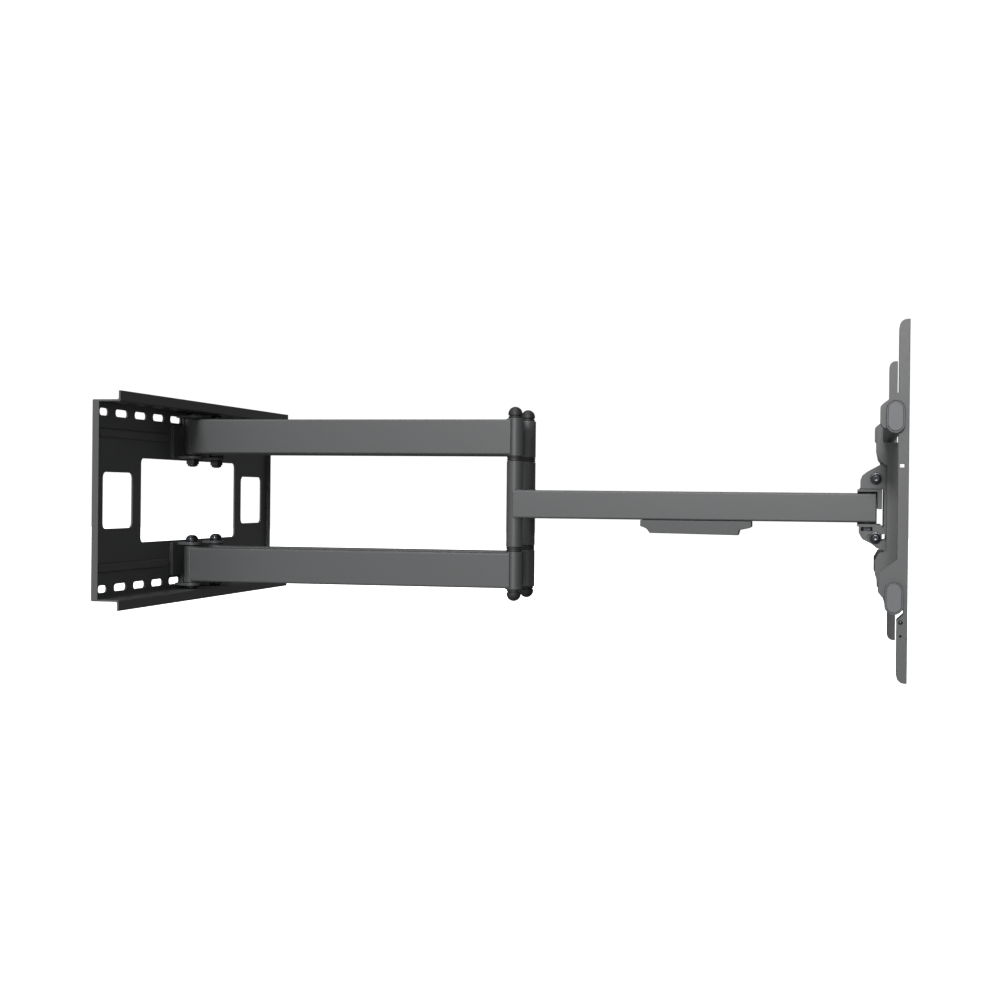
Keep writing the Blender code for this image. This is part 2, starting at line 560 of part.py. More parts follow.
def bracket_side_outline():
    """Side wall of a TV bracket in (y, z): a strip with a hook over each rail."""
    clear = 0.6
    behind = RAIL_Y + RAIL_HALF_DEPTH + clear
    ahead = RAIL_Y - RAIL_HALF_DEPTH - clear
    outline = [(BRACKET_FRONT_Y, BRACKET_BOTTOM), (BRACKET_FRONT_Y, BRACKET_TOP)]
    outline += arc(BRACKET_BACK_Y - 9, BRACKET_TOP - 9, 9, math.pi / 2, 0.0, 5)
    for level, rise, tail in (("upper", 29.0, -7.5), ("lower", 44.9, 6.0)):
        z = RAIL_Z[level]
        recess = arc(RAIL_Y, z + RAIL_HALF_HEIGHT - RAIL_HALF_DEPTH, RAIL_HALF_DEPTH + clear, 0.0, math.pi, 10)
        outline += [(BRACKET_BACK_Y, z + rise), (-996.5, z + rise - 14.0), (-994.0, z + rise - 17.0),
                    (-994.0, z + tail), (-997.5, z + tail - 5.5), (behind, z + tail - 5.5)]
        outline += recess
        if level == "upper":
            outline += arc(RAIL_Y, z - RAIL_HALF_HEIGHT + RAIL_HALF_DEPTH, RAIL_HALF_DEPTH + clear,
                           math.pi, 1.39 * math.pi, 6)
            outline.append((BRACKET_BACK_Y, z - RAIL_HALF_HEIGHT - clear))
        else:
            outline += [(ahead, z - RAIL_HALF_HEIGHT - clear), (BRACKET_BACK_Y, z - RAIL_HALF_HEIGHT - 7.5)]
    outline += arc(BRACKET_BACK_Y - 9, BRACKET_BOTTOM + 9, 9, 0.0, -math.pi / 2, 5)
    return outline


def tv_bracket(side, body):
    """Vertical channel that hangs on both rails and takes the television's screws."""
    x = SIDES[side] * BRACKET_X
    outline = bracket_side_outline()
    back_of_face = BRACKET_FRONT_Y + BRACKET_SHEET
    face = block(x - BRACKET_HALF_WIDTH, x + BRACKET_HALF_WIDTH, BRACKET_FRONT_Y, back_of_face,
                 BRACKET_BOTTOM, BRACKET_TOP)
    walls = [prism("X", outline, x - BRACKET_HALF_WIDTH, x - BRACKET_HALF_WIDTH + BRACKET_SHEET),
             prism("X", outline, x + BRACKET_HALF_WIDTH - BRACKET_SHEET, x + BRACKET_HALF_WIDTH)]
    centre = (BRACKET_TOP + BRACKET_BOTTOM) / 2
    slots = []
    for offset in (-190, -145, -100, -50, 50, 100, 145, 190):
        z = centre + offset
        slots.append(prism("Y", rounded_rectangle(x - 4.2, x + 4.2, z - 12, z + 12, 4.1, 3),
                           BRACKET_FRONT_Y - 2, back_of_face + 2))
    lock_z = RAIL_Z["lower"] - RAIL_HALF_HEIGHT - 10
    slots.append(prism("X", circle(-1019.0, lock_z, 2.6, 12), x - 20, x + 20))
    slots.append(prism("X", circle(-1019.0, lock_z - 16, 1.6, 10), *sorted((x, x + SIDES[side] * 20))))
    slots.append(prism("X", rectangle(-1022.4, -1016.6, 49.0, 53.5), x - 20, x + 20))
    piece(f"tv_bracket_{side}", POWDER_COAT, body, [face], walls, slots)
    sign = SIDES[side]
    inner = x - sign * (BRACKET_HALF_WIDTH + GAP)
    head = prism("X", circle(-1019.0, lock_z, 4.5, 16), *sorted((inner, inner - sign * 3)))
    shank = prism("X", circle(-1019.0, lock_z, 2.2, 12), *sorted((x + sign * 13.5, inner - sign)))
    piece(f"bracket_lock_screw_{side}", BLACK_ZINC, body, [head], [shank])


# ---------------------------------------------------------------- assembly

def build():
    for old in list(bpy.data.objects):
        bpy.data.objects.remove(old, do_unlink=True)

    wall_plate()
    for level in ("upper", "lower"):
        wall_bracket(level)
        for side in SIDES:
            wall_hinge_hardware(level, side)

    forearms = {}
    for side, sign in SIDES.items():
        arm = joint_empty(f"joint_wall_{side}", sign * PIVOT_X, WALL_PIVOT_Y, 0)
        for level in ("upper", "lower"):
            beam(level, side, arm)
        elbow_hardware(side, arm)
        forearms[side] = joint_empty(f"joint_elbow_{side}", sign * PIVOT_X, ELBOW_Y, 0, arm)
        forearm(side, forearms[side])
    cable_clip("left", forearms["left"])

    yoke_body = joint_empty("joint_head", -PIVOT_X, HEAD_PIVOT_Y, 0, forearms["left"])
    yoke(yoke_body)
    tilt_body = joint_empty("joint_tilt", 0, TILT_Y, TILT_Z, yoke_body)
    for side in SIDES:
        head_pivot_hardware(side, yoke_body)
        side_bolt(f"tilt_bolt_{side}", yoke_body, side, TILT_Y, TILT_Z)
        side_bolt(f"tilt_lock_bolt_{side}", yoke_body, side, LOCK_Y, LOCK_Z)
    tilt_bracket(tilt_body)
    level_bolt("level_bolt_upper", tilt_body, LEVEL_BOLT_HIGH)
    level_bolt("level_bolt_lower", tilt_body, LEVEL_BOLT_LOW)

    level_body = joint_empty("joint_level", 0, LEVEL_BACK_Y, 0, tilt_body)
    level_plate(level_body)
    for level in RAIL_Z:
        rail(level, level_body)
    for side, sign in SIDES.items():
        slide = joint_empty(f"joint_slide_{side}", sign * BRACKET_X, RAIL_Y, 0, level_body)
        tv_bracket(side, slide)


build()
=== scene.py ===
import json
import math

import bmesh
import bpy
from mathutils import Matrix, Vector, noise


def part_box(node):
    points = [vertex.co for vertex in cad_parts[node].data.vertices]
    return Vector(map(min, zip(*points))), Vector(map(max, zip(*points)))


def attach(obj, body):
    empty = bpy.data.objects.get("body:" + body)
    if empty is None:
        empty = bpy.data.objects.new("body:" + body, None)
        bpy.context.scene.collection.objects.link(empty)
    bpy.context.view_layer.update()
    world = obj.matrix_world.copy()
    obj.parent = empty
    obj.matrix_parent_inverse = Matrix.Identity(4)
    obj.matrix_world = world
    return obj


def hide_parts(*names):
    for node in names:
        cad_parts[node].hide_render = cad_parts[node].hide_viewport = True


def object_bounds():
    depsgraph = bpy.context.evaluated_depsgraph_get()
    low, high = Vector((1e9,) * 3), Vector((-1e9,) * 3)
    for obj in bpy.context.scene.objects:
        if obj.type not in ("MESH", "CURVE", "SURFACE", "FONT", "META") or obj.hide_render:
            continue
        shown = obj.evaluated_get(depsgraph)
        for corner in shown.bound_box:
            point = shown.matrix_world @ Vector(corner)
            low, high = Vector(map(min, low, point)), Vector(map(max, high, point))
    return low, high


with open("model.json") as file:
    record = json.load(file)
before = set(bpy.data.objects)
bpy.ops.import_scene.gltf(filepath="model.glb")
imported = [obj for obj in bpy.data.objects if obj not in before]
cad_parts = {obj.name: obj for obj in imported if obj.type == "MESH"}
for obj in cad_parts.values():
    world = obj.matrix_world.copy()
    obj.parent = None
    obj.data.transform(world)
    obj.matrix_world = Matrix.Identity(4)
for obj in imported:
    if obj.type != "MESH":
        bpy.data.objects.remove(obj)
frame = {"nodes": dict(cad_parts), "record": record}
cad_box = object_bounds()
MM = 0.001


# ------------------------------------------------------------------ camera and room
# A long lens level with the mount, out beside the left arm and square to the arms' side.
# The floor is a pale studio floor well under the mount, as the mount hangs on a wall.
CAMERA_PLACE = (-2.2687, -0.9679, -0.0729)
CAMERA_YAW = 0.2153             # turned this far from +X towards +Y
CAMERA_PITCH = 0.0030
CAMERA_ROLL = 0.0100
LENS = 58.74
FLOOR_DEPTH = 1.25

camera = bpy.data.objects.new("camera", bpy.data.cameras.new("camera"))
camera.location = CAMERA_PLACE
camera.rotation_euler = (math.pi / 2 - CAMERA_PITCH, -CAMERA_ROLL, CAMERA_YAW - math.pi / 2)
camera.data.lens = LENS
bpy.context.collection.objects.link(camera)
bpy.context.scene.camera = camera
bpy.context.scene.view_settings.view_transform = "Standard"


def linear(colour):
    """An sRGB hex colour as the linear colour that a shader takes."""
    parts = [int(colour[i:i + 2], 16) / 255 for i in (1, 3, 5)]
    return tuple(p / 12.92 if p <= 0.04045 else ((p + 0.055) / 1.055) ** 2.4 for p in parts) + (1.0,)


def add(tree, kind, settings=(), links=()):
    """Adds a node. Settings are its properties or, by name or number, its sockets; links feed its sockets."""
    node = tree.nodes.new(kind)
    for key, value in dict(settings).items():
        if isinstance(key, int) or key in node.inputs:
            node.inputs[key].default_value = value
        else:
            setattr(node, key, value)
    for key, (source, output) in dict(links).items():
        tree.links.new(source.outputs[output], node.inputs[key])
    return node


def new_material(name, settings):
    """A named material with a Principled shader; returns it with its tree and that shader."""
    made = bpy.data.materials.new(name)
    made.use_nodes = True
    shader = made.node_tree.nodes["Principled BSDF"]
    for key, value in settings.items():
        shader.inputs[key].default_value = value
    return made, made.node_tree, shader


floor_bm = bmesh.new()
bmesh.ops.create_grid(floor_bm, x_segments=1, y_segments=1, size=60)
bmesh.ops.translate(floor_bm, verts=floor_bm.verts, vec=(0, 0, cad_box[0][2] - FLOOR_DEPTH))
floor = bpy.data.objects.new("floor", bpy.data.meshes.new("floor"))
floor_bm.to_mesh(floor.data)
floor_bm.free()
bpy.context.collection.objects.link(floor)
pale_floor, _, _ = new_material("pale painted floor", {"Base Color": linear("#f7f7f7"), "Roughness": 0.9,
                                                       "Specular IOR Level": 0.1, "Emission Strength": 1.0})
floor.data.materials.append(pale_floor)
floor.visible_glossy = False
floor.visible_diffuse = False

studio = bpy.data.worlds.new("studio")
bpy.context.scene.world = studio
studio.use_nodes = True
air = studio.node_tree
rays = add(air, "ShaderNodeLightPath")
walls = add(air, "ShaderNodeBackground", {"Color": (1, 1, 1, 1), "Strength": 1.05})
# The soft fill comes from beside the left arm, a little behind the wall's face, and fades to dark
# across the room.
sky = add(air, "ShaderNodeTexCoord")
aim = add(air, "ShaderNodeVectorMath", {"operation": "DOT_PRODUCT", 1: (-0.90, 0.42, 0.10)},
          {0: (sky, "Generated")})
fade = add(air, "ShaderNodeMapRange", {"interpolation_type": "SMOOTHSTEP", 1: -0.1, 2: 0.9, 3: 0.13, 4: 0.75},
           {0: (aim, "Value")})
fill = add(air, "ShaderNodeBackground", {"Color": (1, 1, 1, 1)}, {"Strength": (fade, 0)})
seen = add(air, "ShaderNodeMixShader", {}, {0: (rays, "Is Camera Ray"), 1: (fill, 0), 2: (walls, 0)})
air.links.new(seen.outputs[0], air.nodes["World Output"].inputs["Surface"])


def lamp(name, kind, strength, towards, **settings):
    """A lamp that shines along a direction, from the far side of the mount's middle."""
    made = bpy.data.objects.new(name, bpy.data.lights.new(name, kind))
    made.data.energy = strength
    for key, value in settings.items():
        setattr(made.data, key, value)
    made.rotation_euler = Vector(towards).to_track_quat("-Z", "Y").to_euler()
    made.location = Vector((0, -0.5, 0)) - 3 * Vector(towards).normalized()
    bpy.context.collection.objects.link(made)


lamp("key_softbox", "SUN", 2.1, (1.0, 0.0, -0.30), angle=0.14)
lamp("overhead", "SUN", 1.5, (0.2, -0.12, -1.0), angle=0.6)


# ------------------------------------------------------------------ wall plate
# A shallow tray pressed from 2.5 mm steel sheet, its shelves and side flanges bent forward. Rims
# round the windows and long ribs are pressed in to stiffen it. It is powder coated charcoal.
BODY_OF = {node: body for body, nodes in frame["record"]["behaviour"]["bodies"].items() for node in nodes}


def powder_coat(name, colour, roughness):
    """Fine-texture powder coat: a satin skin with an even, barely visible orange peel."""
    made, tree, shader = new_material(name, {"Roughness": roughness, "Metallic": 0.0})
    place = add(tree, "ShaderNodeTexCoord")
    cloud = add(tree, "ShaderNodeTexNoise", {"Scale": 9.0, "Detail": 2.0}, {"Vector": (place, "Object")})
    dark = tuple(0.93 * part for part in colour[:3]) + (1.0,)
    tint = add(tree, "ShaderNodeMix", {"data_type": "RGBA", 6: dark, 7: colour}, {0: (cloud, 0)})
    tree.links.new(tint.outputs[2], shader.inputs["Base Color"])
    # The grains are about 0.6 mm across, drawn at 1.2 mm so that they show as a fine speckle.
    grain = add(tree, "ShaderNodeTexNoise", {"Scale": 830.0, "Detail": 2.0, "Roughness": 0.6},
                {"Vector": (place, "Object")})
    gloss = add(tree, "ShaderNodeMapRange", {1: 0.3, 2: 0.7, 3: roughness - 0.05, 4: roughness + 0.07},
                {0: (grain, 0)})
    tree.links.new(gloss.outputs[0], shader.inputs["Roughness"])
    peel = add(tree, "ShaderNodeBump", {"Strength": 0.25, "Distance": 0.00012}, {"Height": (grain, 0)})
    tree.links.new(peel.outputs[0], shader.inputs["Normal"])
    return made


charcoal_coat = powder_coat("charcoal fine-texture powder coat", linear("#444546"), 0.4)


def bevel(bm, edges, width, segments):
    bmesh.ops.bevel(bm, geom=edges, offset=width, offset_type="OFFSET", segments=segments, profile=0.5,
                    affect="EDGES", clamp_overlap=True, material=-1)


def hard_edges(bm, angle=27):
    """Edges where two faces meet at more than an angle in degrees."""
    return [e for e in bm.edges if len(e.link_faces) == 2 and e.calc_face_angle(0) > math.radians(angle)]


def cad_copy(node):
    """A CAD solid's shape with its flat faces joined up, ready to have its edges rounded."""
    bm = bmesh.new()
    bm.from_mesh(frame["nodes"][node].data)
    bmesh.ops.remove_doubles(bm, verts=bm.verts, dist=0.01 * MM)
    bmesh.ops.dissolve_limit(bm, angle_limit=math.radians(1), verts=bm.verts, edges=bm.edges)
    return bm


def put_in(bm, part, turn=None, at=(0, 0, 0)):
    """Moves a finished closed shape into a piece's mesh, turned and then shifted."""
    bmesh.ops.recalc_face_normals(part, faces=part.faces)
    where = Matrix.Translation(Vector(at)) @ (turn or Matrix.Identity(3)).to_4x4()
    part.transform(where)
    carried = bpy.data.meshes.new("carried")
    part.to_mesh(carried)
    part.free()
    bm.from_mesh(carried)
    bpy.data.meshes.remove(carried)


def finished(bm, name, finish, slot, *nodes):
    """Makes the piece, shades it, and lets it stand for its CAD nodes and ride on their body."""
    mesh = bpy.data.meshes.new(name)
    bm.to_mesh(mesh)
    bm.free()
    mesh.materials.append(finish)
    mesh.shade_smooth()
    mesh.set_sharp_from_angle(angle=math.radians(50))
    piece = bpy.data.objects.new(name, mesh)
    bpy.context.collection.objects.link(piece)
    level = piece.modifiers.new("even_shading", "WEIGHTED_NORMAL")
    level.keep_sharp = True
    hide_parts(*nodes)
    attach(piece, BODY_OF[nodes[0]])
    return piece


def rim(bm, low, high, corner, front, width, height, steps=6):
    """A pressed rim round a window: a low rounded ridge standing forward of the sheet."""
    part = bmesh.new()
    sheet = bmesh.ops.create_grid(part, x_segments=1, y_segments=1, size=0.5)["verts"]
    bmesh.ops.scale(part, verts=sheet, vec=(high.x - low.x + 2 * width, high.z - low.z + 2 * width, 1))
    bmesh.ops.bevel(part, geom=sheet, offset=corner + width, offset_type="OFFSET", segments=6, profile=0.5,
                    affect="VERTICES", clamp_overlap=True, material=-1)
    bmesh.ops.rotate(part, verts=part.verts, cent=(0, 0, 0), matrix=Matrix.Rotation(math.pi / 2, 3, "X"))
    bmesh.ops.translate(part, verts=part.verts, vec=((low.x + high.x) / 2, front, (low.z + high.z) / 2))
    inside = part.faces[:]
    turns = [math.pi * step / steps for step in range(steps + 1)]
    for start, end in zip(turns, turns[1:]):
        bmesh.ops.inset_region(part, faces=inside, thickness=width * (math.cos(start) - math.cos(end)) / 2,
                               depth=height * (math.sin(end) - math.sin(start)), use_even_offset=True)
    bmesh.ops.delete(part, geom=inside, context="FACES_ONLY")
    bmesh.ops.bridge_loops(part, edges=[e for e in part.edges if len(e.link_faces) == 1])
    put_in(bm, part)


def rounded_box(bm, low, high, width, segments=3):
    """A box with every edge rounded."""
    part = bmesh.new()
    bmesh.ops.create_cube(part, size=1)
    bmesh.ops.scale(part, verts=part.verts, vec=Vector(high) - Vector(low))
    bmesh.ops.translate(part, verts=part.verts, vec=(Vector(low) + Vector(high)) / 2)
    bevel(part, part.edges[:], width, segments)
    put_in(bm, part)


plate_low, plate_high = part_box("wall_plate")
plate_mid = (plate_low + plate_high) / 2
WEB_FRONT = -2.5 * MM
FOLD_RADIUS = 1.8 * MM
FOLDS_WITHIN = 140 * MM         # folds lie nearer the plate's centre line than this, lip edges don't
BROKEN_EDGE = 0.45 * MM
RIM_CORNER = 7 * MM
RIM_WIDTH = 4.5 * MM
RIM_HEIGHT = 1.2 * MM
RIM_SUNK = 0.25 * MM
RIB_INNER_END = 88 * MM
RIB_OUTER_END = 303 * MM
RIB_HEIGHT = 89                 # mm above and below the plate's centre line
RIB_HALF_WIDTH = 6
RIB_PROUD = 3 * MM
RIB_ROOT = 1.5 * MM
RIB_ROUNDING = 2.2 * MM

plate_bm = cad_copy("wall_plate")
bends = [e for e in hard_edges(plate_bm) if abs(e.verts[0].co.x - e.verts[1].co.x) > 0.5]
bevel(plate_bm, [e for e in bends if abs(e.verts[0].co.z - plate_mid.z) < FOLDS_WITHIN], FOLD_RADIUS, 4)
bevel(plate_bm, hard_edges(plate_bm), BROKEN_EDGE, 2)
openings = {gap["name"]: gap["box_m"] for gap in frame["record"]["physics"]["openings"]}
for window, reach_x, reach_z in (("plate_middle_opening", 9.6, 14.6), ("plate_left_window", 5.2, 5.0),
                                 ("plate_right_window", 5.2, 5.0)):
    reach = Vector((reach_x, 0, reach_z)) * MM
    rim(plate_bm, Vector(openings[window][0]) - reach, Vector(openings[window][1]) + reach,
        RIM_CORNER, WEB_FRONT + RIM_SUNK, RIM_WIDTH, RIM_HEIGHT)
for side in (-1, 1):
    inner, outer = sorted((side * RIB_INNER_END, side * RIB_OUTER_END))
    for height in (-RIB_HEIGHT, RIB_HEIGHT):
        rounded_box(plate_bm, (inner, WEB_FRONT - RIB_PROUD, plate_mid.z + (height - RIB_HALF_WIDTH) * MM),
                    (outer, WEB_FRONT + RIB_ROOT, plate_mid.z + (height + RIB_HALF_WIDTH) * MM),
                    RIB_ROUNDING, 5)
finished(plate_bm, "pressed_wall_plate", charcoal_coat, "powder_coat", "wall_plate")


# ------------------------------------------------------------------ wall hinge brackets
# Two brackets cut and folded from 4 mm steel and welded to the plate. Their tongues hold the ends
# of the arm sleeves from above and below.
def weld(bm, path, radius):
    """A weld bead: small overlapping rounded scales laid along a path of points."""
    for number, point in enumerate(path):
        part = bmesh.new()
        bmesh.ops.create_uvsphere(part, u_segments=8, v_segments=5, radius=radius)
        swell = 1 + 0.18 * noise.noise(Vector((number * 0.7, point[0] * 90, point[2] * 90)))
        bmesh.ops.scale(part, verts=part.verts, vec=(swell, swell, swell))
        put_in(bm, part, None, point)


def between(start, end, spacing):
    """Evenly spaced points on a straight line."""
    start, end = Vector(start), Vector(end)
    count = max(2, round((end - start).length / spacing))
    return [start.lerp(end, i / count) for i in range(count + 1)]


BEAD_SPACING = 1.6 * MM
PLATE_BEAD_RADIUS = 1.8 * MM
PLATE_BEAD_LENGTH = 40
BEAD_PLACE_Y = WEB_FRONT - 0.6 * MM

for level in ("upper", "lower"):
    bracket_low, bracket_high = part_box(f"wall_bracket_{level}")
    bracket_bm = cad_copy(f"wall_bracket_{level}")
    bevel(bracket_bm, hard_edges(bracket_bm), 0.5 * MM, 2)
    inner_edge = bracket_low.z + 3 * MM if level == "upper" else bracket_high.z - 3 * MM
    for side in (-1, 1):
        edge_x = side * bracket_high.x
        far = inner_edge + (PLATE_BEAD_LENGTH if level == "upper" else -PLATE_BEAD_LENGTH) * MM
        bead = between((edge_x, BEAD_PLACE_Y, inner_edge), (edge_x, BEAD_PLACE_Y, far), BEAD_SPACING)
        weld(bracket_bm, bead, PLATE_BEAD_RADIUS)
    finished(bracket_bm, f"welded_hinge_bracket_{level}", charcoal_coat, "powder_coat",
             f"wall_bracket_{level}")


# ------------------------------------------------------------------ wall hinge bolts, nuts and bushes
# Each arm sleeve turns on a black zinc plated bolt with a domed socket head and a locking nut. Thin
# turned nylon bushes keep the sleeve off the tongue.
def black_zinc():
    """Black zinc plate over steel: a dark, slightly oily metal sheen with faint turning marks."""
    made, tree, shader = new_material("black zinc plated steel",
                                      {"Metallic": 1.0, "Roughness": 0.32, "Base Color": linear("#4a4b4e")})
    place = add(tree, "ShaderNodeTexCoord")
    # Turning marks 0.4 mm apart, drawn at 0.8 mm.
    marks = add(tree, "ShaderNodeTexNoise", {"Scale": 1250.0, "Detail": 1.0}, {"Vector": (place, "Object")})
    gloss = add(tree, "ShaderNodeMapRange", {1: 0.3, 2: 0.7, 3: 0.2, 4: 0.34}, {0: (marks, 0)})
    tree.links.new(gloss.outputs[0], shader.inputs["Roughness"])
    patch = add(tree, "ShaderNodeTexNoise", {"Scale": 60.0, "Detail": 2.0}, {"Vector": (place, "Object")})
    tint = add(tree, "ShaderNodeMix", {"data_type": "RGBA", 6: linear("#36373a"), 7: linear("#4e4f53")},
               {0: (patch, 0)})
    tree.links.new(tint.outputs[2], shader.inputs["Base Color"])
    return made


def moulded_plastic(name, colour, roughness, grit):
    """Moulded black plastic with a spark-eroded skin: matt, faintly speckled where the light grazes it."""
    made, tree, shader = new_material(name, {"Roughness": roughness, "IOR": 1.49})
    place = add(tree, "ShaderNodeTexCoord")
    speckle = add(tree, "ShaderNodeTexNoise", {"Scale": 1000.0 / grit, "Detail": 2.0},
                  {"Vector": (place, "Object")})
    bright = tuple(1.35 * part for part in colour[:3]) + (1.0,)
    tint = add(tree, "ShaderNodeMix", {"data_type": "RGBA", 6: colour, 7: bright}, {0: (speckle, 0)})
    tree.links.new(tint.outputs[2], shader.inputs["Base Color"])
    skin = add(tree, "ShaderNodeBump", {"Strength": 0.35, "Distance": 0.0002}, {"Height": (speckle, 0)})
    tree.links.new(skin.outputs[0], shader.inputs["Normal"])
    return made


zinc = black_zinc()
nylon = moulded_plastic("black turned nylon", linear("#1d1d1e"), 0.5, 1.6)
TURN = {"Z": Matrix.Identity(3), "-Z": Matrix.Rotation(math.pi, 3, "X"),
        "X": Matrix.Rotation(math.pi / 2, 3, "Y"), "-X": Matrix.Rotation(-math.pi / 2, 3, "Y"),
        "-Y": Matrix.Rotation(math.pi / 2, 3, "X"), "Y": Matrix.Rotation(-math.pi / 2, 3, "X")}


def turned(bm, profile, at, axis="Z", edge=0.3 * MM, steps=40):
    """Turns a profile of (radius, height) points; it closes on itself unless it ends on the axis."""
    part = bmesh.new()
    line = [part.verts.new((radius, 0, height)) for radius, height in profile]
    pairs = list(zip(line, line[1:]))
    if profile[0][0] > 0:
        pairs.append((line[-1], line[0]))
    edges = [part.edges.new(pair) for pair in pairs]
    bmesh.ops.spin(part, geom=line + edges, cent=(0, 0, 0), axis=(0, 0, 1), angle=math.tau, steps=steps,
                   use_merge=True, use_duplicate=False)
    bmesh.ops.remove_doubles(part, verts=part.verts, dist=0.002 * MM)
    bmesh.ops.recalc_face_normals(part, faces=part.faces)
    if edge:
        bevel(part, hard_edges(part, 35), edge, 2)
    put_in(bm, part, TURN[axis], at)


def dome(radius, base, height, hole=0.0, steps=7):
    """Profile points of a dome, from its rim up to its top or to the edge of a hole."""
    end = math.pi / 2 if hole == 0 else math.acos(hole / radius)
    turns = [end * i / steps for i in range(steps + 1)]
    return [(radius * math.cos(t) if i < steps or hole else 0.0, base + height * math.sin(t))
            for i, t in enumerate(turns)]


def sided_ring(bm, outer, outer_sides, inner, inner_sides, height, at, axis="Z", edge=0.0):
    """A flat ring whose rim and hole can have six sides or many, such as a nut or a socket."""
    part = bmesh.new()
    for radius, sides in ((outer, outer_sides), (inner, inner_sides)):
        bmesh.ops.create_circle(part, segments=sides, radius=radius)
    bmesh.ops.bridge_loops(part, edges=part.edges[:])
    grown = bmesh.ops.extrude_face_region(part, geom=part.faces[:])["geom"]
    bmesh.ops.translate(part, verts=[g for g in grown if isinstance(g, bmesh.types.BMVert)],
                        vec=(0, 0, height))
    bmesh.ops.recalc_face_normals(part, faces=part.faces)
    if edge:
        bevel(part, hard_edges(part), edge, 2)
    put_in(bm, part, TURN[axis], at)


def domed_bolt(bm, at, axis, radius, head_height, shank_radius, shank_length, socket=3.0 * MM):
    """A button-head bolt: domed head with a six-sided socket, shank behind it. It points head first."""
    rim_height = 0.35 * head_height
    depth = 0.45 * head_height
    top = rim_height + (head_height - rim_height) * math.sin(math.acos(socket / radius))
    profile = [(0.0, -shank_length), (shank_radius - 0.7 * MM, -shank_length),
               (shank_radius, -shank_length + 0.8 * MM), (shank_radius, 0.0), (radius, 0.0)]
    profile += dome(radius, rim_height, head_height - rim_height, socket)
    profile += [(socket, top - depth), (0.0, top - depth)]
    turned(bm, profile, at, axis)
    across = 0.94 * socket
    shift = TURN[axis] @ Vector((0, 0, top - depth))
    sided_ring(bm, socket, 24, across, 6, depth - 0.25 * MM, Vector(at) + shift, axis)


def lock_nut(bm, at, axis, across_flats, height, bore):
    """A hexagon nut with the low round collar that holds its nylon ring."""
    corner = across_flats / math.sqrt(3)
    collar = 0.28 * height
    sided_ring(bm, corner, 6, bore, 24, height - collar, at, axis, 0.45 * MM)
    shift = TURN[axis] @ Vector((0, 0, height - collar))
    outer = 0.43 * across_flats
    turned(bm, [(bore, 0), (outer, 0), (outer, 0.7 * collar), (outer - 0.8 * MM, collar), (bore, collar)],
           Vector(at) + shift, axis)


def thread(bm, at, axis, radius, length, pitch=1.25 * MM):
    """The bare end of a bolt, with its thread drawn as closed grooves."""
    turns = max(2, int(length / pitch))
    profile = [(0.0, 0.0), (radius - 0.6 * MM, 0.0)]
    for turn in range(turns):
        profile += [(radius, (turn + 0.35) * pitch), (radius - 0.6 * MM, (turn + 1) * pitch)]
    profile += [(radius - 1.0 * MM, turns * pitch + 0.4 * MM), (0.0, turns * pitch + 0.4 * MM)]
    turned(bm, profile, at, axis, 0.0, 28)


PIVOT_BOLT_RADIUS = 5 * MM
PIVOT_HEAD_RADIUS = 9 * MM
PIVOT_BORE = 5.5 * MM
PIVOT_NUT_ACROSS = 17 * MM
PIVOT_NUT_BORE = 5.2 * MM

for level in ("upper", "lower"):
    for side in ("left", "right"):
        tag = f"{level}_{side}"
        low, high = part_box(f"wall_bolt_{tag}")
        middle = (low + high) / 2
        bolt_bm = bmesh.new()
        head_side = high.z - 4.2 * MM if level == "upper" else high.z - 10.4 * MM
        head = high.z - head_side
        domed_bolt(bolt_bm, (middle.x, middle.y, head_side), "Z", PIVOT_HEAD_RADIUS, head,
                   PIVOT_BOLT_RADIUS, head_side - low.z - 7 * MM)
        thread(bolt_bm, (middle.x, middle.y, low.z + 7.5 * MM), "-Z", PIVOT_BOLT_RADIUS, 7 * MM)
        finished(bolt_bm, f"hinge_bolt_{tag}", zinc, "zinc_fastener", f"wall_bolt_{tag}")
        low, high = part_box(f"wall_nut_{tag}")
        nut_bm = bmesh.new()
        lock_nut(nut_bm, (middle.x, middle.y, high.z), "-Z", PIVOT_NUT_ACROSS, high.z - low.z,
                 PIVOT_NUT_BORE)
        finished(nut_bm, f"hinge_lock_nut_{tag}", zinc, "zinc_fastener", f"wall_nut_{tag}")


def bush(node, bore):
    """A thin turned bush that fills its CAD solid's height, with a groove round its rim."""
    low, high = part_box(node)
    middle = (low + high) / 2
    outer = (high.x - low.x) / 2
    tall = high.z - low.z
    bush_bm = bmesh.new()
    turned(bush_bm, [(bore, 0), (outer, 0), (outer, 0.3 * tall), (outer - 0.7 * MM, 0.4 * tall),
                     (outer - 0.7 * MM, 0.6 * tall), (outer, 0.7 * tall), (outer, tall), (bore, tall)],
           (middle.x, middle.y, low.z), "Z", 0.12 * MM)
    finished(bush_bm, f"turned_{node}", nylon, "nylon_bush", node)


for level in ("upper", "lower"):
    for side in ("left", "right"):
        bush(f"wall_bush_{level}_{side}", PIVOT_BORE)


# ------------------------------------------------------------------ arm beams
# Four rectangular steel tubes, 49 by 25 mm with a 2 mm wall, welded at each end to a round sleeve
# that turns on its pin, then powder coated.
TUBE_CORNER = 2.6 * MM
ELBOW_BORE = 7 * MM


def middle_of(node):
    low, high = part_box(node)
    return (low + high) / 2


def tube_along_y(bm, low, high, corner):
    """A rectangular tube's outside, with its four long edges rounded as drawn tube has them."""
    part = bmesh.new()
    bmesh.ops.create_cube(part, size=1)
    bmesh.ops.scale(part, verts=part.verts, vec=high - low)
    bmesh.ops.translate(part, verts=part.verts, vec=(low + high) / 2)
    bevel(part, [e for e in part.edges if abs(e.verts[0].co.y - e.verts[1].co.y) > MM], corner, 6)
    bevel(part, hard_edges(part, 60), 0.3 * MM, 2)
    put_in(bm, part)


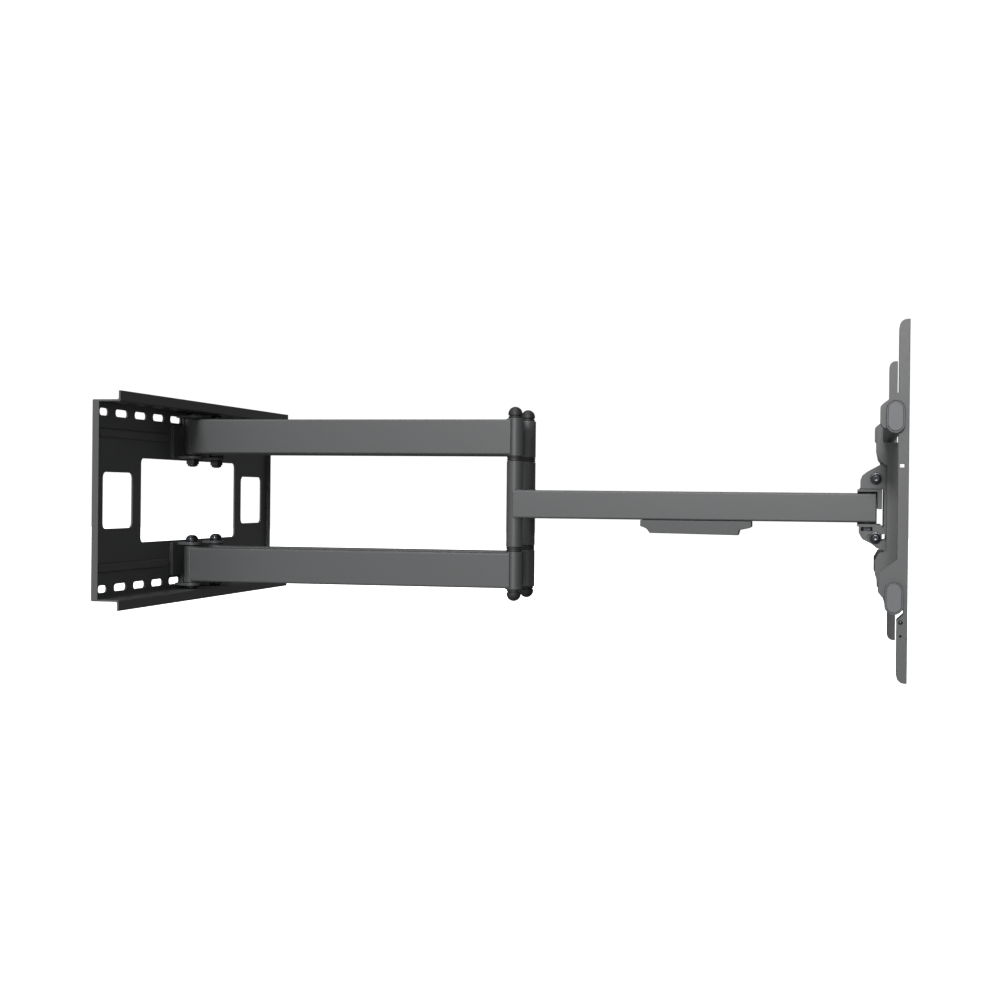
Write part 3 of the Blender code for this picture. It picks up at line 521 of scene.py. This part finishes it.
def sleeve(bm, x, y, low, high, radius, bore):
    """A round sleeve with chamfered mouths."""
    tall = high - low
    chamfer = 0.9 * MM
    turned(bm, [(bore, 0), (radius - chamfer, 0), (radius, chamfer), (radius, tall - chamfer),
                (radius - chamfer, tall), (bore, tall)], (x, y, low), "Z", 0.2 * MM, 56)


def sleeve_welds(bm, x, y, radius, tube, span, towards, tube_end, half_width):
    """Beads round the sleeve above and below the tube, and down both sides of the tube's end."""
    count = round(math.pi * radius / (1.7 * MM))
    turns = [math.pi * (i / count - 0.5) for i in range(2, count - 1)]
    for height, beyond in ((tube[0], span[0] < tube[0]), (tube[1], span[1] > tube[1])):
        if beyond:
            weld(bm, [(x + radius * math.sin(t), y + towards * radius * math.cos(t), height) for t in turns],
                 1.3 * MM)
    for side in (-1, 1):
        edge = (x + side * (half_width - 1.0 * MM), tube_end)
        weld(bm, between((*edge, tube[0] + 3 * MM), (*edge, tube[1] - 3 * MM), BEAD_SPACING), 1.0 * MM)


for level in ("upper", "lower"):
    for side in ("left", "right"):
        low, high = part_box(f"arm_{level}_{side}")
        elbow, pivot = middle_of(f"elbow_pin_{side}"), middle_of(f"wall_bolt_{level}_{side}")
        radius = elbow.y - low.y
        tube = (low.z + 1.9 * MM, high.z - 1.9 * MM)
        tube_ends = (elbow.y + 4.5 * MM, pivot.y - 3 * MM)
        beam_bm = bmesh.new()
        tube_along_y(beam_bm, Vector((low.x, tube_ends[0], tube[0])), Vector((high.x, tube_ends[1], tube[1])),
                     TUBE_CORNER)
        for y, towards, tube_end, bore in ((elbow.y, 1, tube_ends[0], ELBOW_BORE),
                                           (pivot.y, -1, tube_ends[1], PIVOT_BORE)):
            sleeve(beam_bm, elbow.x, y, low.z, high.z, radius, bore)
            sleeve_welds(beam_bm, elbow.x, y, radius, tube, (low.z, high.z), towards, tube_end,
                         (high.x - low.x) / 2)
        finished(beam_bm, f"arm_beam_{level}_{side}", charcoal_coat, "powder_coat", f"arm_{level}_{side}")


# ------------------------------------------------------------------ elbows
# A long steel pin runs through three sleeves at each elbow, with thin nylon bushes between them. A
# domed black plastic cap is pushed on over each end.
black_cap = moulded_plastic("black moulded cap plastic", linear("#1c1c1d"), 0.55, 1.4)
for side in ("left", "right"):
    low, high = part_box(f"elbow_pin_{side}")
    x, y = (low.x + high.x) / 2, (low.y + high.y) / 2
    radius = (high.x - low.x) / 2
    pin_bm = bmesh.new()
    turned(pin_bm, [(0, 0), (radius - 0.8 * MM, 0), (radius, 0.8 * MM), (radius, high.z - low.z - 0.8 * MM),
                    (radius - 0.8 * MM, high.z - low.z), (0, high.z - low.z)], (x, y, low.z))
    finished(pin_bm, f"ground_elbow_pin_{side}", zinc, "zinc_fastener", f"elbow_pin_{side}")
    for end, axis in (("top", "Z"), ("bottom", "-Z")):
        low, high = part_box(f"elbow_cap_{end}_{side}")
        tall = high.z - low.z
        wide = (high.x - low.x) / 2
        cap_bm = bmesh.new()
        profile = [(0, 0), (wide - 0.4 * MM, 0), (wide - 0.4 * MM, 2.2 * MM), (wide - 1.6 * MM, 2.6 * MM),
                   (wide - 1.6 * MM, 3.6 * MM), (wide, 4.0 * MM)]
        profile += dome(wide, 5.6 * MM, tall - 5.6 * MM, 0.0, 10)
        turned(cap_bm, profile, (x, y, low.z if axis == "Z" else high.z), axis, 0.25 * MM, 48)
        finished(cap_bm, f"domed_elbow_cap_{end}_{side}", black_cap, "black_plastic",
                 f"elbow_cap_{end}_{side}")
    for level in ("upper", "lower"):
        bush(f"elbow_bush_{level}_{side}", ELBOW_BORE)


# ------------------------------------------------------------------ forearms and cable holder
# One 39 by 25 mm tube a side, with a tall sleeve at the elbow and a round-ended bore at the head. A
# long black plastic cable holder clips on under the left one.
for side in ("left", "right"):
    low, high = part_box(f"forearm_{side}")
    elbow, pivot = middle_of(f"elbow_pin_{side}"), middle_of(f"head_bolt_{side}")
    radius = high.y - elbow.y
    tube_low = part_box(f"head_bush_lower_{side}")[1].z + 0.3 * MM
    tube = (tube_low, low.z + high.z - tube_low)
    forearm_bm = bmesh.new()
    tube_along_y(forearm_bm, Vector((low.x, low.y, tube[0])), Vector((high.x, elbow.y, tube[1])), TUBE_CORNER)
    sleeve(forearm_bm, elbow.x, elbow.y, low.z, high.z, radius, ELBOW_BORE)
    sleeve_welds(forearm_bm, elbow.x, elbow.y, radius, tube, (low.z, high.z), -1, elbow.y,
                 (high.x - low.x) / 2)
    finished(forearm_bm, f"forearm_beam_{side}", charcoal_coat, "powder_coat", f"forearm_{side}")

clip_bm = cad_copy("cable_clip_left")
bevel(clip_bm, hard_edges(clip_bm), 0.8 * MM, 3)
holder_plastic = moulded_plastic("black holder plastic", linear("#3a3b3c"), 0.5, 1.2)
finished(clip_bm, "clip_on_cable_holder", holder_plastic, "black_plastic", "cable_clip_left")


# ------------------------------------------------------------------ head yoke
# A welded yoke of 3 mm plate joins the forearm ends. Each hangs on a bolt through its two shelves,
# with nylon bushes above and below the tube.
def is_corner(edge):
    """True where a piece's front face meets a side, which is where the sheet was folded."""
    directions = [abs(face.normal.y) for face in edge.link_faces]
    foremost = min(v.co.y for face in edge.link_faces for v in face.verts)
    return max(directions) > 0.99 and edge.verts[0].co.y < foremost + 0.1 * MM


def folded_sheet(node, name, width=BROKEN_EDGE, bend=0.0):
    """A cut and folded steel piece as its CAD solid has it, with its edges broken and coated."""
    sheet_bm = cad_copy(node)
    if bend:
        folds = [e for e in hard_edges(sheet_bm, 80) if e.calc_length() > 60 * MM
                 and abs(e.verts[0].co.z - e.verts[1].co.z) > 60 * MM and is_corner(e)]
        bevel(sheet_bm, folds, bend, 4)
    bevel(sheet_bm, hard_edges(sheet_bm), width, 2)
    return finished(sheet_bm, name, charcoal_coat, "powder_coat", node)


folded_sheet("head_yoke", "welded_head_yoke")
for side in ("left", "right"):
    low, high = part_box(f"head_bolt_{side}")
    x, y = (low.x + high.x) / 2, (low.y + high.y) / 2
    bolt_bm = bmesh.new()
    domed_bolt(bolt_bm, (x, y, high.z - 4 * MM), "Z", PIVOT_HEAD_RADIUS, 4 * MM, PIVOT_BOLT_RADIUS,
               high.z - low.z - 10 * MM)
    thread(bolt_bm, (x, y, low.z + 6.5 * MM), "-Z", PIVOT_BOLT_RADIUS, 6 * MM)
    finished(bolt_bm, f"head_pivot_bolt_{side}", zinc, "zinc_fastener", f"head_bolt_{side}")
    low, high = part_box(f"head_nut_{side}")
    nut_bm = bmesh.new()
    lock_nut(nut_bm, (x, y, high.z), "-Z", PIVOT_NUT_ACROSS, high.z - low.z, PIVOT_NUT_BORE)
    finished(nut_bm, f"head_lock_nut_{side}", zinc, "zinc_fastener", f"head_nut_{side}")
    for level in ("upper", "lower"):
        bush(f"head_bush_{level}_{side}", PIVOT_BORE)


# ------------------------------------------------------------------ tilt bracket and its bolts
# The tilting bracket is a folded frame with a cheek on each side. It turns on the two upper bolts,
# and the two lower ones clamp it anywhere along their curved slots.
folded_sheet("tilt_bracket", "folded_tilt_bracket")
for side, axis in (("left", "-X"), ("right", "X")):
    for kind in ("tilt_bolt", "tilt_lock_bolt"):
        low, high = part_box(f"{kind}_{side}")
        y, z = (low.y + high.y) / 2, (low.z + high.z) / 2
        out = 1 if side == "right" else -1
        outer = high.x if side == "right" else low.x
        inner = low.x if side == "right" else high.x
        side_bm = bmesh.new()
        domed_bolt(side_bm, (outer - out * 4 * MM, y, z), axis, 6.4 * MM, 4 * MM, 4 * MM,
                   abs(outer - inner) - 4 * MM, 2.6 * MM)
        turned(side_bm, [(0, 0), (8 * MM, 0), (8 * MM, 0.7 * MM), (7 * MM, 1.1 * MM), (0, 1.1 * MM)],
               (outer - out * 4 * MM, y, z), axis, 0.2 * MM)
        sided_ring(side_bm, 11 * MM / math.sqrt(3), 6, 3.9 * MM, 24, 5.6 * MM, (inner, y, z), axis, 0.4 * MM)
        finished(side_bm, f"{kind}_with_nut_{side}", zinc, "zinc_fastener", f"{kind}_{side}")
for level in ("upper", "lower"):
    low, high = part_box(f"level_bolt_{level}")
    x, z = (low.x + high.x) / 2, (low.z + high.z) / 2
    screw_bm = bmesh.new()
    domed_bolt(screw_bm, (x, low.y + 4 * MM, z), "-Y", 7.5 * MM, 4 * MM, 3 * MM, high.y - low.y - 4.5 * MM,
               2.4 * MM)
    sided_ring(screw_bm, 10 * MM / math.sqrt(3), 6, 2.9 * MM, 24, 4.4 * MM, (x, high.y, z), "-Y", 0.4 * MM)
    finished(screw_bm, f"level_screw_{level}", zinc, "zinc_fastener", f"level_bolt_{level}")


# ------------------------------------------------------------------ levelling frame: plate, rails and caps
# A folded plate with deep lobed flanges carries two long oval steel rails. A black plastic cap
# closes each end of a rail.
folded_sheet("level_plate", "folded_level_plate")
cap_plastic = moulded_plastic("dark grey cap plastic", linear("#4d4e50"), 0.42, 1.4)
CAP_RIM = 3.0 * MM
CAP_FACE_RISE = 0.6 * MM
PLUG_DEPTH = 12 * MM
PLUG_INSET = 3.1 * MM
# Steps of the groove in a cap's face, in mm: how far in from the last, and how far out.
CAP_GROOVE = ((0.5, 0.0), (0.2, -1.8), (1.5, 0.0), (0.2, 1.8), (0.5, 0.2))


def oval(bm, low, high, edge, outwards=0):
    """An oval plug that fills a box across X. Its outer face can have a groove round a raised middle."""
    part = bmesh.new()
    radius = (high.y - low.y) / 2
    straight = (high.z - low.z) / 2 - radius
    bmesh.ops.create_circle(part, cap_ends=True, segments=44, radius=radius)
    bmesh.ops.rotate(part, verts=part.verts, cent=(0, 0, 0), matrix=Matrix.Rotation(math.pi / 2, 3, "Y"))
    for up in (-1, 1):
        half = [v for v in part.verts if v.co.z * up > 0.01 * MM]
        bmesh.ops.translate(part, verts=half, vec=(0, 0, up * straight))
    grown = bmesh.ops.extrude_face_region(part, geom=part.faces[:])["geom"]
    bmesh.ops.translate(part, verts=[g for g in grown if isinstance(g, bmesh.types.BMVert)],
                        vec=(high.x - low.x, 0, 0))
    bmesh.ops.translate(part, verts=part.verts, vec=(low.x, (low.y + high.y) / 2, (low.z + high.z) / 2))
    bmesh.ops.recalc_face_normals(part, faces=part.faces)
    face = [f for f in part.faces if f.normal.x * outwards > 0.99]
    for thickness, depth in CAP_GROOVE if face else ():
        bmesh.ops.inset_region(part, faces=face, thickness=thickness * MM, depth=depth * MM,
                               use_even_offset=True)
    bevel(part, hard_edges(part, 50), edge, 2)
    put_in(bm, part)


for level in ("upper", "lower"):
    folded_sheet(f"rail_{level}", f"oval_rail_{level}", 0.3 * MM)
    for side in ("left", "right"):
        low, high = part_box(f"rail_cap_{level}_{side}")
        out = 1 if side == "right" else -1
        face = high.x if side == "right" else low.x
        rail_end = face - out * CAP_RIM
        cap_bm = bmesh.new()
        span = sorted((rail_end, face - out * CAP_FACE_RISE))
        oval(cap_bm, Vector((span[0], low.y, low.z)), Vector((span[1], high.y, high.z)), 0.3 * MM, out)
        stub = sorted((face - out * PLUG_DEPTH, rail_end))
        oval(cap_bm, Vector((stub[0], low.y + PLUG_INSET, low.z + PLUG_INSET)),
             Vector((stub[1], high.y - PLUG_INSET, high.z - PLUG_INSET)), 0.4 * MM)
        finished(cap_bm, f"oval_end_cap_{level}_{side}", cap_plastic, "black_plastic",
                 f"rail_cap_{level}_{side}")


# ------------------------------------------------------------------ TV brackets
# Two tall folded channels are screwed to the television's back. Their hooks hang over the rails,
# and a small screw under the lower rail locks each one.
TV_BRACKET_BEND = 3.5 * MM

for side in ("left", "right"):
    folded_sheet(f"tv_bracket_{side}", f"hooked_tv_bracket_{side}", BROKEN_EDGE, TV_BRACKET_BEND)
    low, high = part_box(f"bracket_lock_screw_{side}")
    out = -1 if side == "right" else 1
    head = low.x if side == "right" else high.x
    y, z = (low.y + high.y) / 2, (low.z + high.z) / 2
    screw_bm = bmesh.new()
    domed_bolt(screw_bm, (head - out * 3 * MM, y, z), "X" if out > 0 else "-X", 4.5 * MM, 3 * MM, 2.2 * MM,
               high.x - low.x - 3 * MM, 1.8 * MM)
    finished(screw_bm, f"lock_screw_{side}", zinc, "zinc_fastener", f"bracket_lock_screw_{side}")
